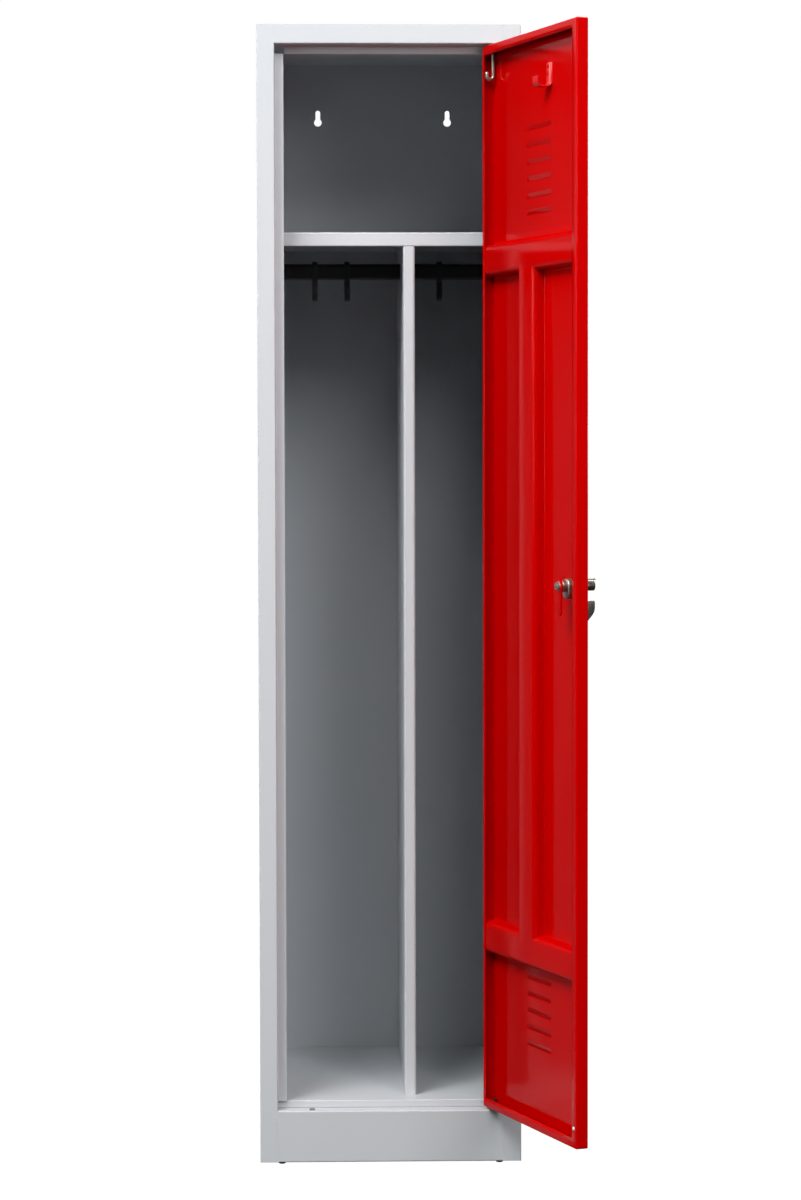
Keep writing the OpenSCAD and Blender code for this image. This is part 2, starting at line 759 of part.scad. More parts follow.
// Tongue that turns behind the lock side's stop flange
module latch_cam() {
    color(RED) on_door() translate([latch_x, cam_y + cam_t, door_mid]) rotate([90, 0, 0])
        linear_extrude(cam_t) difference() {
            union() {
                circle(r = cam_w / 2 + 3);
                translate([-cam_w / 2, -cam_len + cam_w / 2]) square([cam_w, cam_len - cam_w / 2]);
                translate([0, -cam_len + cam_w / 2]) circle(r = cam_w / 2);
            }
            square(square_w + 0.04, center = true);
        }
}

module latch_washer() {
    color(STEEL) on_door() difference() {
        bar_y(latch_x, door_mid, 7, cam_y + cam_t, cam_y + cam_t + washer_t);
        bar_y(latch_x, door_mid, thread_r + 0.02, cam_y, cam_y + cam_t + 2 * washer_t);
    }
}

module latch_nut() {
    color(STEEL) on_door() translate([latch_x, cam_y + cam_t + washer_t, door_mid]) rotate([-90, 0, 0])
        difference() {
            cylinder(d = 11.5, h = nut_t, $fn = 6);
            translate([0, 0, -1]) cylinder(r = thread_r + 0.02, h = nut_t + 2);
        }
}

left_side_panel();
right_side_panel();
back_panel();
top_panel();
floor_panel();
plinth_front();
back_sill();
hat_shelf();
partition();
clothes_rail();
rail_socket_left();
rail_socket_right();
sliding_hook_1();
sliding_hook_2();
sliding_hook_3();
upper_hinge_bush();
lower_hinge_pin();
sill_pad();
foot_front_left();
foot_front_right();
foot_back_left();
foot_back_right();
door_skin();
upper_cross_stiffener();
lower_cross_stiffener();
upright_stiffener();
coat_hook();
coat_hook_rivets();
door_upper_bush();
door_lower_bush();
door_buffer();
latch_base();
latch_rivets();
latch_housing();
upper_hinge_pin();
latch_lever();
latch_cam();
latch_washer();
latch_nut();
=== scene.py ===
# %% [markdown]
# # A steel clothing locker
# A locker is a folded sheet-steel box with one door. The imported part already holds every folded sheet,
# hinge pin and bush at its real size, so this script adds what a plain solid leaves out: louvres with
# rounded ends, soft bends, rounded castings, ground welds and paint. It also sets the camera, the lamps
# and the floor.

# %% Load the part
import json
import math
import bpy
import numpy as np
from mathutils import Matrix


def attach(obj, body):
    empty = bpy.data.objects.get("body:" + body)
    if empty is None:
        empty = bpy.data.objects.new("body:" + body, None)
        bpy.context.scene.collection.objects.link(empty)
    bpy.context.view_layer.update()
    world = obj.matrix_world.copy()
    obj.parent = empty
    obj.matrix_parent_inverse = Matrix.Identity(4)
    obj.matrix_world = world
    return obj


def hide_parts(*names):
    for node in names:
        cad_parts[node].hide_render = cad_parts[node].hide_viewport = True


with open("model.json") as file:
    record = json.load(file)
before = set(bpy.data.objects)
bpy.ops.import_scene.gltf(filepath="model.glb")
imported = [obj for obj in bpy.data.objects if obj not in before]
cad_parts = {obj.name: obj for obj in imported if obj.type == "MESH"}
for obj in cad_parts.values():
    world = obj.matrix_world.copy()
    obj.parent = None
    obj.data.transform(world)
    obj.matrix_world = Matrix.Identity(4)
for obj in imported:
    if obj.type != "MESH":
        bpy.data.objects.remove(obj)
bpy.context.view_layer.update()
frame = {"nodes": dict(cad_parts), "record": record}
mm = 0.001

# %% [markdown]
# ## The camera
# The picture is taken from a little over five metres with a long lens, so the locker's lines stay almost
# parallel. Three angles turn the camera: yaw to the side, pitch down, and a very small roll. A matrix of
# the camera's own three axes puts all three in at once, which is easier to check than Euler angles.

# %% Camera
yaw, pitch, roll = math.radians(1.445), math.radians(2.318), math.radians(-0.118)
camera_at, film_height, focal_length = (-0.10904, -5.24022, 1.09899), 36.0, 94.93
ahead = np.array([math.sin(yaw) * math.cos(pitch), math.cos(yaw) * math.cos(pitch), -math.sin(pitch)])
level = np.array([math.cos(yaw), -math.sin(yaw), 0.0])
above = np.cross(level, ahead)
side = math.cos(roll) * level + math.sin(roll) * above
top = -math.sin(roll) * level + math.cos(roll) * above
lens_data = bpy.data.cameras.new("camera")
lens_data.sensor_fit, lens_data.sensor_height, lens_data.lens = "VERTICAL", film_height, focal_length
camera = bpy.data.objects.new("camera", lens_data)
bpy.context.scene.collection.objects.link(camera)
axes = np.eye(4)
axes[:3, 0], axes[:3, 1], axes[:3, 2], axes[:3, 3] = side, top, -ahead, camera_at
camera.matrix_world = Matrix(axes.tolist())
bpy.context.scene.camera = camera
print("camera at", camera.matrix_world.translation)

# %% [markdown]
# ## One way to write a material
# A material is a graph of nodes. One helper adds a node with its settings and its links, and one turns
# the sRGB hex values that colours are written in into the linear values that the renderer works with.

# %% Material helpers
def linear(text):
    """sRGB hex to linear: below 0.04045 divide by 12.92, else ((c + 0.055) / 1.055) to the power 2.4."""
    c = np.array([int(text[i:i + 2], 16) for i in (1, 3, 5)]) / 255
    c = np.where(c <= 0.04045, c / 12.92, ((c + 0.055) / 1.055) ** 2.4)
    return (*c.tolist(), 1.0)


def add(tree, kind, inputs=None, **settings):
    """Adds a node; a tuple (node, socket) among the inputs is a link, anything else is a value."""
    node = tree.nodes.new(kind)
    for name, value in settings.items():
        setattr(node, name, value)
    for name, value in (inputs or {}).items():
        if isinstance(value, tuple) and len(value) == 2 and isinstance(value[0], bpy.types.Node):
            tree.links.new(value[0].outputs[value[1]], node.inputs[name])
        else:
            node.inputs[name].default_value = value
    return node


def start(name):
    """A new material with its Object coordinates and its Principled shader."""
    material = bpy.data.materials.new(name)
    material.use_nodes = True
    tree = material.node_tree
    tree.nodes.clear()
    place = add(tree, "ShaderNodeTexCoord")
    shader = add(tree, "ShaderNodeBsdfPrincipled")
    add(tree, "ShaderNodeOutputMaterial", {"Surface": (shader, "BSDF")})
    return material, tree, place, shader


def finish(name, colour, other, drift_mm, roughness, spread, ripple_mm, depth_mm, strength,
           stretch=(1, 1, 1), fixed=None):
    """A surface with two scales. A slow noise mixes two colours and moves the roughness by plus or
    minus `spread`. A fine noise of `ripple_mm` is the bump, and `stretch` draws it out along an axis
    where it is under 1. `fixed` holds the shader's values that are the same all over."""
    material, tree, place, shader = start(name)
    slow = add(tree, "ShaderNodeTexNoise",
               {"Vector": (place, "Object"), "Scale": 1000 / drift_mm, "Detail": 3.0})
    tone = add(tree, "ShaderNodeMix", {"Factor": (slow, "Fac"), "A": linear(other), "B": linear(colour)},
               data_type="RGBA")
    sheen = add(tree, "ShaderNodeMapRange", {"Value": (slow, "Fac"), "From Min": 0.3, "From Max": 0.7,
                                             "To Min": roughness + spread, "To Max": roughness - spread})
    drawn = add(tree, "ShaderNodeMapping", {"Vector": (place, "Object"), "Scale": stretch})
    fine = add(tree, "ShaderNodeTexNoise",
               {"Vector": (drawn, "Vector"), "Scale": 1000 / ripple_mm, "Detail": 1.5})
    bump = add(tree, "ShaderNodeBump",
               {"Height": (fine, "Fac"), "Strength": strength, "Distance": depth_mm * mm})
    tree.links.new(tone.outputs["Result"], shader.inputs["Base Color"])
    tree.links.new(sheen.outputs["Result"], shader.inputs["Roughness"])
    tree.links.new(bump.outputs["Normal"], shader.inputs["Normal"])
    for socket, value in (fixed or {}).items():
        shader.inputs[socket].default_value = value
    print("finish:", name)
    return material


# %% [markdown]
# ## Paint
# The body and the door are sprayed with dry polyester powder and baked, which leaves one even skin about
# 0.08 mm thick. It is a plastic film on steel, so it isn't metallic. What gives it away is orange peel, a
# faint ripple 3 mm from crest to crest, and a gloss that drifts a little over a hand's width. The red is
# smoother than the grey and sends back less light. The coat hook and the rail are dipped in stoving
# enamel before they go in, so they shine more, and the enamel has run a little. The hook's red is lighter
# than the door's red, which is painted highlight for the light its crowned face catches.

# %% Powder coat and enamel
grey = finish("grey_powder_coat", "#c1c5c8", "#bcc0c4", drift_mm=140, roughness=0.42, spread=0.04,
              ripple_mm=3.0, depth_mm=0.4, strength=0.08, fixed={"Specular IOR Level": 0.3})
red = finish("red_powder_coat", "#c30000", "#bc0000", drift_mm=140, roughness=0.11, spread=0.02,
             ripple_mm=3.0, depth_mm=0.4, strength=0.03, fixed={"Specular IOR Level": 0.06})
# The hook's red is lighter than the door's red: painted highlight. Its higher gloss is the enamel's own.
hook_red_painted_highlight = finish("red_enamel_with_painted_highlight", "#d60a08", "#ca0605", drift_mm=60, roughness=0.3, spread=0.03,
                  ripple_mm=6.0, depth_mm=0.5, strength=0.1, fixed={"Specular IOR Level": 0.6})
black = finish("black_stoving_enamel", "#0b0b0c", "#101011", drift_mm=90, roughness=0.34, spread=0.05,
               ripple_mm=14.0, depth_mm=0.6, strength=0.15, stretch=(0.3, 1, 1))

# %% [markdown]
# ## Plastics and rubber
# The sliding hooks, feet and bushes are moulded nylon. Their moulds are spark-eroded, which leaves a
# fine, even grain. The real pits are 0.1 mm wide, too small to show here, so they are drawn 0.6 mm wide.
# The buffer is unfilled nylon, which is milky because light goes a little way into it. The pad on the
# sill is rubber, dull and specked with its chalky bloom.

# %% Nylon and rubber
moulded = finish("black_moulded_nylon", "#121213", "#1b1b1c", drift_mm=25, roughness=0.45, spread=0.05,
                 ripple_mm=0.6, depth_mm=0.05, strength=0.3)
nylon = finish("milky_nylon", "#e9e9e4", "#dcdcd4", drift_mm=12, roughness=0.4, spread=0.05,
               ripple_mm=0.6, depth_mm=0.05, strength=0.2,
               fixed={"Subsurface Weight": 0.3, "Subsurface Scale": 0.001})
rubber = finish("chalky_rubber", "#77797b", "#696b6d", drift_mm=6, roughness=0.75, spread=0.08,
                ripple_mm=0.8, depth_mm=0.1, strength=0.4)
tree = rubber.node_tree
place, shader = tree.nodes["Texture Coordinate"], tree.nodes["Principled BSDF"]
speck_mm = 1.2
specks = add(tree, "ShaderNodeTexVoronoi", {"Vector": (place, "Object"), "Scale": 1000 / speck_mm})
bloom = add(tree, "ShaderNodeMapRange", {"Value": (specks, "Distance"), "From Min": 0.1, "From Max": 0.35,
                                         "To Min": 0.5, "To Max": 0.0})
base = shader.inputs["Base Color"].links[0].from_node
# A colour mix comes out of the Mix node's third output.
colour_output = 2
dusty = add(tree, "ShaderNodeMix",
            {"Factor": (bloom, "Result"), "A": (base, colour_output), "B": linear("#a4a6a6")},
            data_type="RGBA")
tree.links.new(dusty.outputs["Result"], shader.inputs["Base Color"])

# %% [markdown]
# ## Metals
# Small steel fittings are zinc-plated: bright, with a yellow tint where the bath left more passivation,
# and fine lines from drawing the wire or rolling the strip. The latch's lever is cast zinc under chrome.
# A chromed casting is smooth, but its skin still swells and dips every few millimetres, which bends each
# reflection.

# %% Zinc plate and chromed casting
zinc = finish("zinc_plated_steel", "#b9b8b2", "#a49f90", drift_mm=9, roughness=0.42, spread=0.07,
              ripple_mm=1.0, depth_mm=0.03, strength=0.35, stretch=(1, 1, 0.06), fixed={"Metallic": 1.0})
chrome = finish("chromed_casting", "#8c837a", "#7a7168", drift_mm=14, roughness=0.38, spread=0.05,
                ripple_mm=5.0, depth_mm=0.25, strength=0.2, fixed={"Metallic": 1.0})

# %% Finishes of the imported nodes
slots = {"grey_paint": grey, "red_paint": red, "black_paint": black, "black_plastic": moulded,
         "white_plastic": nylon, "rubber": rubber, "zinc_plate": zinc, "cast_chrome": chrome}
for entry in frame["record"]["subparts"]:
    node = frame["nodes"][entry["node"]]
    node.data.materials.clear()
    node.data.materials.append(slots[entry["material_slot"]])
print("finishes:", [m.name for m in slots.values()])

# %% [markdown]
# ## Floor and world
# The studio's sweep is white to the camera, and white to rays that a shiny surface sends out towards it,
# but it adds little light of its own: a matt surface sees a dim room and a dark floor, so the space under
# the shelf stays as dark as it is in the photo. To the camera the floor mixes its lit colour in, which
# keeps the contact shadow.

# %% Floor
scene = bpy.context.scene
scene.view_settings.view_transform = "Standard"
floor_mesh = bpy.data.meshes.new("floor")
floor_mesh.from_pydata([(-60, -30, 0), (60, -30, 0), (60, 90, 0), (-60, 90, 0)], [], [(0, 1, 2, 3)])
floor = bpy.data.objects.new("floor", floor_mesh)
scene.collection.objects.link(floor)
sweep = bpy.data.materials.new("pale_studio_floor")
sweep.use_nodes = True
tree = sweep.node_tree
tree.nodes.clear()
path = add(tree, "ShaderNodeLightPath")
tone = add(tree, "ShaderNodeMix",
           {"Factor": (path, "Is Camera Ray"), "A": linear("#303030"), "B": linear("#9c9c9c")},
           data_type="RGBA")
matt = add(tree, "ShaderNodeBsdfDiffuse", {"Color": (tone, "Result")})
white_share, white_strength = 0.86, 1.17
glow = add(tree, "ShaderNodeEmission", {"Color": (1, 1, 1, 1), "Strength": white_strength})
share = add(tree, "ShaderNodeMath", {0: (path, "Is Camera Ray"), 1: white_share}, operation="MULTIPLY")
both = add(tree, "ShaderNodeMixShader", {"Fac": (share, 0), 1: (matt, 0), 2: (glow, 0)})
add(tree, "ShaderNodeOutputMaterial", {"Surface": (both, 0)})
floor_mesh.materials.append(sweep)
print("floor:", white_share, "of what the camera sees of it is white light")

# %% World
# To a shiny surface the world is white behind the locker and dark behind the camera.
world = bpy.data.worlds.new("studio")
scene.world = world
world.use_nodes = True
tree = world.node_tree
tree.nodes.clear()
path = add(tree, "ShaderNodeLightPath")
compass = add(tree, "ShaderNodeSeparateXYZ", {0: (add(tree, "ShaderNodeTexCoord"), "Generated")})
backdrop = add(tree, "ShaderNodeMapRange", {"Value": (compass, "Y"), "From Min": -0.2, "From Max": 0.3,
                                            "To Min": 0.1, "To Max": 1.0})
shiny = add(tree, "ShaderNodeMath", {0: (path, "Is Glossy Ray"), 1: (path, "Is Transmission Ray")},
            operation="MAXIMUM")
shiny = add(tree, "ShaderNodeMath", {0: (shiny, 0), 1: (backdrop, "Result")}, operation="MULTIPLY")
seen = add(tree, "ShaderNodeMath", {0: (path, "Is Camera Ray"), 1: (shiny, 0)}, operation="MAXIMUM")
room_light = 0.03
power = add(tree, "ShaderNodeMath", {0: (seen, 0), 1: room_light}, operation="MAXIMUM")
sky = add(tree, "ShaderNodeBackground", {"Color": (1, 1, 1, 1), "Strength": (power, 0)})
add(tree, "ShaderNodeOutputWorld", {"Surface": (sky, 0)})
print("world: white to the camera,", room_light, "as a light")

# %% [markdown]
# ## Softboxes
# Each lamp is a square of light, or nearly so, that faces a point near the middle of the locker. Azimuth
# is counted from straight in front, positive to the right, and height above the horizon is given as an
# angle, as a photographer would set a stand.

# %% Softboxes
# Lengths are in metres and powers in watts.
aim, distance = np.array([0.0, 0.0, 1.0]), 6.0
large, small = (2.4, 2.4), (1.5, 1.4)


def softbox(name, azimuth, height, size, watts):
    """Place: aim + distance * (sin a cos h, -cos a cos h, sin h). The lamp's Z axis points from aim."""
    a, h = math.radians(azimuth), math.radians(height)
    back = np.array([math.sin(a) * math.cos(h), -math.cos(a) * math.cos(h), math.sin(h)])
    across = np.cross((0, 0, 1), back)
    across /= np.linalg.norm(across)
    lamp = bpy.data.lights.new(name, "AREA")
    lamp.shape, lamp.size, lamp.size_y, lamp.energy = "RECTANGLE", size[0], size[1], watts
    obj = bpy.data.objects.new(name, lamp)
    scene.collection.objects.link(obj)
    turn = np.eye(4)
    turn[:3, 0], turn[:3, 1], turn[:3, 2] = across, np.cross(back, across), back
    turn[:3, 3] = aim + distance * back
    obj.matrix_world = Matrix(turn.tolist())


softbox("key_softbox_left", -30, 46, large, 226)
softbox("wide_softbox_left", -45, 46, large, 145)
softbox("key_softbox_right", 30, 46, large, 98)
softbox("front_softbox", 14, 36, large, 116)
softbox("side_softbox_high", -105, 30, large, 72)
softbox("side_softbox_low", -105, 12, small, 62)
softbox("low_softbox_left", -60, 6, small, 50)
softbox("low_softbox_right", 30, 14, small, 66)
softbox("back_softbox", 180, 12, large, 170)
softbox("back_softbox_right", 125, 12, large, 200)

# %% [markdown]
# ## From arrays to a piece
# Sheet metal and castings are drawn in millimetres, so each new piece is worked out that way, as whole
# numpy arrays of points, with the door shut. One function turns the points with the door, scales them to
# metres and makes the mesh. It merges equal points, so that seams and poles close, and turns the faces
# outwards.

# %% Arrays to mesh
import bmesh
pin = np.array([164.5, -243.5])
opening = math.radians(110)


def turned(points):
    """Shut door to open door: (x, y) turned by the opening angle round the hinge pin, z kept."""
    turn = np.array([[math.cos(opening), -math.sin(opening)], [math.sin(opening), math.cos(opening)]])
    out = points.copy()
    out[:, :2] = (points[:, :2] - pin) @ turn.T + pin
    return out


def quads(rows, columns, wrap_rows=False, wrap_columns=True):
    """Faces of a grid stored row by row: point (i, j) has number i * columns + j."""
    i = np.arange(rows if wrap_rows else rows - 1)[:, None]
    j = np.arange(columns if wrap_columns else columns - 1)[None, :]
    i, j = np.broadcast_arrays(i, j)
    i2, j2 = (i + 1) % rows, (j + 1) % columns
    corners = [i * columns + j, i * columns + j2, i2 * columns + j2, i2 * columns + j]
    return np.stack(corners, -1).reshape(-1, 4)


def make(name, shells, slot, body, *nodes, door=False, outward=True, sharp=38):
    """One object from shells of (points, list of face arrays), in millimetres. It rides on `body` and
    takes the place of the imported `nodes`. An edge over `sharp` degrees is shaded as a corner."""
    points, faces, count = [], [], 0
    for where, groups in shells:
        where = np.asarray(where, float).reshape(-1, 3)
        points.append(turned(where) if door else where)
        for group in groups:
            faces += (np.asarray(group) + count).tolist()
        count += len(where)
    mesh = bpy.data.meshes.new(name)
    mesh.from_pydata((np.concatenate(points) * mm).tolist(), [], faces)
    shape = bmesh.new()
    shape.from_mesh(mesh)
    bmesh.ops.remove_doubles(shape, verts=shape.verts, dist=0.002 * mm)
    if outward:
        bmesh.ops.recalc_face_normals(shape, faces=shape.faces)
    shape.to_mesh(mesh)
    shape.free()
    mesh.polygons.foreach_set("use_smooth", np.ones(len(mesh.polygons), bool))
    mesh.set_sharp_from_angle(angle=math.radians(sharp))
    mesh.materials.append(slots[slot])
    obj = bpy.data.objects.new(name, mesh)
    scene.collection.objects.link(obj)
    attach(obj, body)
    if nodes:
        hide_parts(*nodes)
    print(f"{name}: {len(mesh.polygons)} faces on {body}")
    return obj


print("the door is turned by", round(math.degrees(opening)), "degrees round", pin)

# %% [markdown]
# ## Three ways to make a solid
# Pins, bushes and feet are turned, so a profile of radius and height goes round an axis. Plates and
# levers are an outline with a rounded edge. Strips and moulded hooks are a section carried along a path.
# Each of them is a grid of points, and `softened` takes the hardness off a drawn corner, as a tool's
# radius does.

# %% Turned, cut and carried shapes
def softened(path, reach, steps, closed=False):
    """Corner b between a and c becomes the parabola (1-t)^2 a + 2t(1-t) b + t^2 c, where a and c are
    the points that lie `reach` from b on its two sides, or 0.48 of the side where that is less."""
    p = np.asarray(path, float)
    reach = np.broadcast_to(np.asarray(reach, float).reshape(-1, 1), (len(p), 1))
    ends = []
    for other in (np.roll(p, 1, 0), np.roll(p, -1, 0)):
        way = other - p
        long = np.maximum(np.linalg.norm(way, axis=1, keepdims=True), 1e-9)
        ends.append(p + way / long * np.minimum(reach, 0.48 * long))
    t = np.linspace(0, 1, steps + 1)[:, None, None]
    curve = (1 - t) ** 2 * ends[0] + 2 * t * (1 - t) * p + t ** 2 * ends[1]
    curve = curve.transpose(1, 0, 2).reshape(-1, p.shape[1])
    return curve if closed else np.concatenate([p[:1], curve[steps + 1:-steps - 1], p[-1:]])


def lathe(profile, centre, along="z", steps=48):
    """Turned part: a point (r, h) of the profile gives (r cos t, r sin t, h); `along` names the axis of h."""
    r, h = np.asarray(profile, float).T[:, :, None]
    t = np.linspace(0, 2 * math.pi, steps, endpoint=False)[None, :]
    p = np.stack(np.broadcast_arrays(r * np.cos(t), r * np.sin(t), h), -1).reshape(-1, 3)
    order = {"z": [0, 1, 2], "y": [0, 2, 1]}[along]
    return p[:, order] + np.asarray(centre, float), [quads(len(r), steps)]


def outward_normals(outline):
    """Unit normals of a closed outline: its central difference turned by a quarter."""
    way = np.roll(outline, -1, 0) - np.roll(outline, 1, 0)
    normal = np.stack([way[:, 1], -way[:, 0]], -1)
    normal /= np.maximum(np.linalg.norm(normal, axis=1, keepdims=True), 1e-9)
    area = np.sum(outline[:, 0] * np.roll(outline[:, 1], -1) - np.roll(outline[:, 0], -1) * outline[:, 1])
    return normal * np.sign(area)


def plate(outline, low, high, edge, hole=None, flat="xz"):
    """Outline drawn in by e(1 - sin a) at height e(1 - cos a): its edges are quarter rounds of radius e."""
    outline = np.asarray(outline, float)
    a = np.linspace(0, math.pi / 2, 5)
    inset = np.concatenate([edge * (1 - np.sin(a)), edge * (1 - np.sin(a[::-1]))])
    height = np.concatenate([low + edge * (1 - np.cos(a)), high - edge * (1 - np.cos(a[::-1]))])
    rings = outline[None] - inset[:, None, None] * outward_normals(outline)[None]
    if hole is not None:
        centre, radius = np.asarray(hole[:2], float), hole[2]
        way = outline - centre
        ring = centre + radius * way / np.linalg.norm(way, axis=1, keepdims=True)
        rings = np.concatenate([rings, ring[None], ring[None]])
        height = np.append(height, [high, low])
    u, v = rings[..., 0], rings[..., 1]
    h = np.broadcast_to(height[:, None], u.shape)
    p = {"xz": (u, h, v), "xy": (u, v, h), "yz": (h, u, v)}[flat]
    n, m = u.shape
    faces = [quads(n, m, wrap_rows=hole is not None)]
    if hole is None:
        faces += [np.arange(m)[None], np.arange((n - 1) * m, n * m)[None]]
    return np.stack(p, -1).reshape(-1, 3), faces


def carried(path, section, across, size):
    """Section (u, v) at each path point: p + u * across + v * (across x tangent), scaled by `size` there."""
    path, section, across, size = (np.asarray(v, float) for v in (path, section, across, size))
    tangent = np.gradient(path, axis=0)
    tangent /= np.linalg.norm(tangent, axis=1, keepdims=True)
    up = np.cross(across, tangent)
    ring = section[None, :, :1] * across + section[None, :, 1:] * up[:, None]
    p = path[:, None] + size[:, None, None] * ring
    n, m = len(path), len(section)
    return p.reshape(-1, 3), [quads(n, m), np.arange(m)[None], np.arange((n - 1) * m, n * m)[None]]


def moved(shell, by):
    """The same shell, shifted by (x, y, z)."""
    return np.asarray(shell[0]) + np.asarray(by, float), shell[1]


def stadium(radius, low, high, steps=25):
    """Outline of a long round plate: half circles of one radius round (0, high) and (0, low)."""
    a = np.linspace(0, math.pi, steps)
    x, z = radius * np.cos(a), radius * np.sin(a)
    return np.concatenate([np.stack([x, high + z], -1), np.stack([-x, low - z], -1)])


print("helpers: softened, lathe, plate, carried, moved and stadium")

# %% [markdown]
# ## The door's pan
# The door is one sheet, folded back twice on all four sides, with rows of louvres pressed into it. A
# louvre is cut along its mouth and pushed out, so its hood starts level with the skin and stands 3.5 mm
# out at the mouth. A boolean could cut it, but a pressed hood has no hard corner, so the skin is a height
# field: a grid whose points move out, with its two rows at each mouth left unjoined. The folds are rings
# round the same grid. In the lower set the mouths also have a lip, 1.8 mm deep.

# %% Door pan
skin_y, wall_y, bend = -250.0, -230.0, 2.0
x_edge, z_foot, z_head = 177.5 - bend, 89.0 + bend, 1767.0 - bend
louvre_z = np.concatenate([1562 + 26 * (np.arange(6) - 2.5), 264 + 26 * (np.arange(5) - 2.0)])
# Half a hood's width and height, how far its mouth stands out, and the length of its rounded ends. The
# depth grows as t to the power 1.2 from top to mouth, times sqrt(1 - step^2) within an end.
half_w, half_h, hood_out, hood_end = 46.0, 4.5, 3.5, 9.0
# Flat rows this close to a hood, a fold or the rim keep smooth shading from spreading over flat sheet.
near, near_rim = 0.6, 0.8
straight = half_w - hood_end
ends = half_w - hood_end * (1 - np.cos(np.linspace(0, math.pi / 2, 8)))
flat_x = np.array([half_w + near, 60, 120, x_edge - near_rim, x_edge])
xs = np.concatenate([ends, -ends, np.linspace(-straight, straight, 9), flat_x, -flat_x])
xs = np.unique(np.round(xs, 4))
t = np.linspace(0, 1, 9)
hoods = [np.stack([c + half_h - 2 * half_h * t, t ** 1.2], -1) for c in louvre_z]
flat_z = [louvre_z + z for z in (half_h + near, -half_h, -half_h - near)]
flat_z = np.concatenate([*flat_z, [z_foot, z_foot + near_rim, 600, 900, 1200, z_head - near_rim, z_head]])
rows = np.concatenate([*hoods, np.stack([flat_z, 0 * flat_z], -1)])
rows = rows[np.lexsort((rows[:, 1], rows[:, 0]))]
step = np.clip((np.abs(xs) - straight) / hood_end, 0, 1)
arch = np.sqrt(1 - step ** 2)[None]
grid = np.stack(np.broadcast_arrays(xs[None], skin_y - hood_out * rows[:, 1:] * arch, rows[:, :1]), -1)
n, m = len(rows), len(xs)
skin = quads(n, m, wrap_columns=False)
mouth = np.isclose(np.diff(rows[:, 0]), 0)
skin = skin[~np.repeat(mouth, m - 1)]
print("skin:", n, "by", m, "points, with", int(mouth.sum()), "mouths")

# %% Door pan's folds
# The rim goes round the skin, with a quarter turn at each corner. Each ring of the folds is the rim,
# pushed outwards or drawn in, at its own depth, and the last three run in along the second fold.
number = np.arange(n * m).reshape(n, m)
keep = ~np.append(mouth, False)
sides = [number[0, :], number[keep, -1], number[-1, ::-1], number[keep, 0][::-1]]
outwards = [(0, -1), (1, 0), (0, 1), (-1, 0)]
corners = [(x_edge, z_foot), (x_edge, z_head), (-x_edge, z_head), (-x_edge, z_foot)]
rim, away = [], []
for k, (line, outward, corner) in enumerate(zip(sides, outwards, corners)):
    turn = (k - 1) * math.pi / 2 + np.linspace(0, math.pi / 2, 5)[1:-1]
    rim += [grid.reshape(-1, 3)[line][:, [0, 2]], np.tile(corner, (len(turn), 1))]
    away += [np.tile(outward, (len(line), 1)), np.stack([np.cos(turn), np.sin(turn)], -1)]
rim, away = np.concatenate(rim), np.concatenate(away)
a = np.linspace(0, math.pi / 2, 6)
push = np.concatenate([bend * np.sin(a), [bend, bend], bend * np.cos(a), [0, 0, 0]])
deep = np.concatenate([skin_y + bend * (1 - np.cos(a)), [skin_y + bend + near, wall_y - bend - near],
                       wall_y - bend + bend * np.sin(a), [wall_y] * 3])
fold_in, hinge_fold_in = 13, 7
fold = np.concatenate([np.zeros(len(push) - 3), [0.05, 0.5, 1.0]])
low = np.stack([-x_edge + fold_in * fold, z_foot + fold_in * fold], -1)[:, None]
high = np.stack([x_edge - hinge_fold_in * fold, z_head - fold_in * fold], -1)[:, None]
flat = np.clip(rim[None], low, high) + push[:, None, None] * away[None]
folds = np.stack([flat[..., 0], np.broadcast_to(deep[:, None], flat.shape[:2]), flat[..., 1]], -1)
fold_faces = quads(len(push), len(rim))[:, ::-1]
print("folds:", folds.shape[0], "rings of", folds.shape[1], "points")


# %% Lips of the lower louvres, and the pan itself
def sheet(piece):
    """Gives a folded surface 1 mm of steel, on the side that its faces turn away from."""
    steel = piece.modifiers.new("sheet_thickness", "SOLIDIFY")
    steel.thickness, steel.offset, steel.use_even_offset = 1.0 * mm, -1.0, True


fall = np.array([0.0, 0.6, 1.2, 1.8])[:, None]
lip_x, lip_arch = xs[step < 1], arch[:, step < 1]
lip_y = skin_y - hood_out * lip_arch * (1 - 0.03 * fall ** 2)
lip_faces = quads(len(fall), len(lip_x), wrap_columns=False)[:, ::-1]
lips = []
for c in louvre_z[6:]:
    lips.append((np.stack(np.broadcast_arrays(lip_x, lip_y, c - half_h - fall), -1), [lip_faces]))
shells = [(grid, [skin]), (folds, [fold_faces]), *lips]
sheet(make("door_pan", shells, "red_paint", "door", "door_skin", door=True, outward=False))
print("louvres at", louvre_z)

# %% [markdown]
# ## Stiffeners
# Three hat-shaped pressings keep the thin pan flat: two across and one upright between them, spot-welded
# by their lips and ground smooth where their crowns meet. A press brake gives steel this thin a bend
# several times its thickness, and that soft corner is what catches the light from above. Each profile
# gives a depth at every point of one grid, and the greater of the depths counts, so that the crowns run
# into each other as they do once their welds are ground.

# %% Stiffeners
rim_w, rim_y, crown_y, slant = 12, -248.7, -231.02, 1.5


def hat(offset, crown):
    """Depth of a hat profile at an offset from its middle: a flat rim, the wall, the crown. Beyond the
    rim it is not a number."""
    w = crown / 2
    line = [(-w - rim_w, rim_y), (-w - rim_w + 0.3, rim_y), (-w - slant, rim_y), (-w + slant, crown_y),
            (0, crown_y)]
    line = softened(line, [0, 0, 3, 8, 0], 8)
    far = np.abs(offset)
    depth = np.interp(-far, line[:, 0], line[:, 1])
    return np.where(far < w + rim_w + 0.001, depth, np.nan), line[:, 0]


